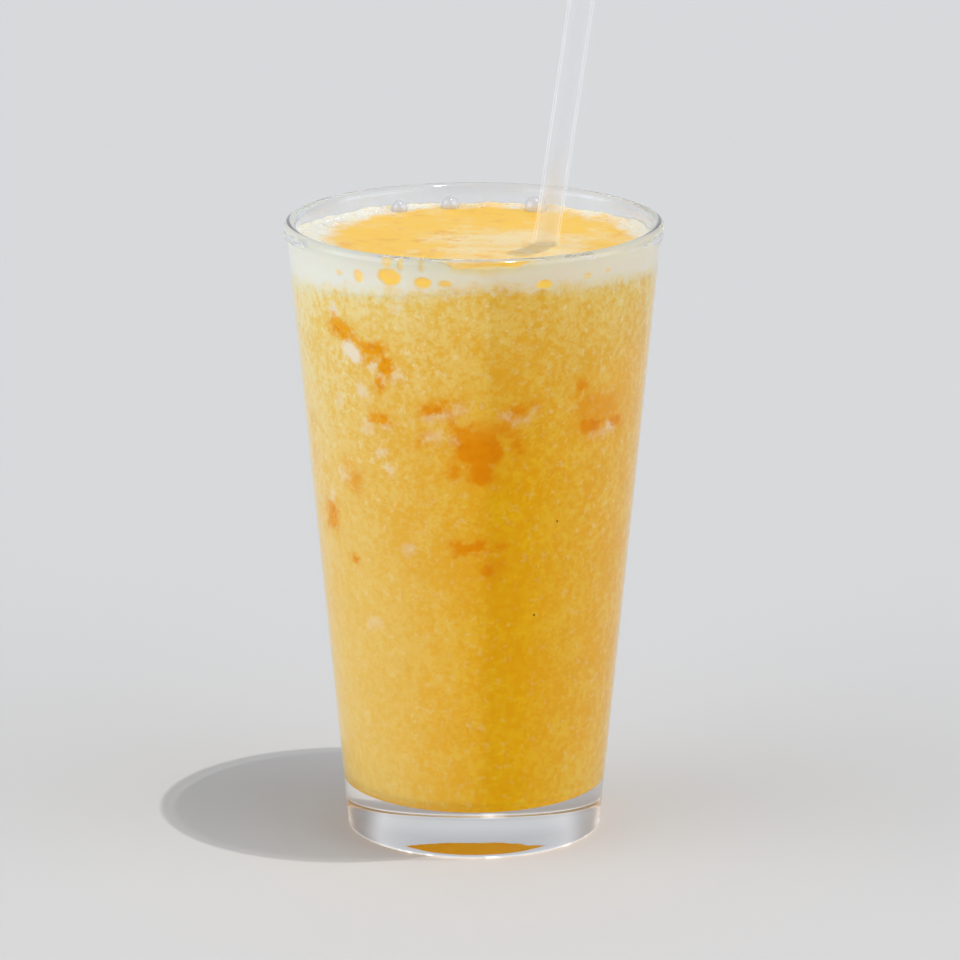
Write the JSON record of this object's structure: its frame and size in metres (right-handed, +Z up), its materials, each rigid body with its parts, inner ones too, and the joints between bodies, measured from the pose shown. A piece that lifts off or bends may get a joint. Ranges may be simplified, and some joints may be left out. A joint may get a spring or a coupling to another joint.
{
  "type": "glass of orange juice",
  "caption": "Conical glass tumbler filled with pulpy orange juice under a pale froth with bubbles, with a clear straight drinking straw leaning in it.",
  "frame": {"origin": "middle of the foot, on the surface that the glass stands on", "axes": "+Z up along the glass's axis, the picture's viewer on the -Y side and +X to that viewer's right"},
  "size_m": [0.0902, 0.0902, 0.2187],
  "materials": {
    "glass": "clear, polished",
    "juice": "opaque and wet, with pale pulp",
    "froth": "wet foam",
    "straw": "clear, slightly milky"
  },
  "bodies": {
    "root": {"tumbler": "glass", "juice": "juice", "froth": "froth", "straw": "straw"}
  },
  "joints": []
}
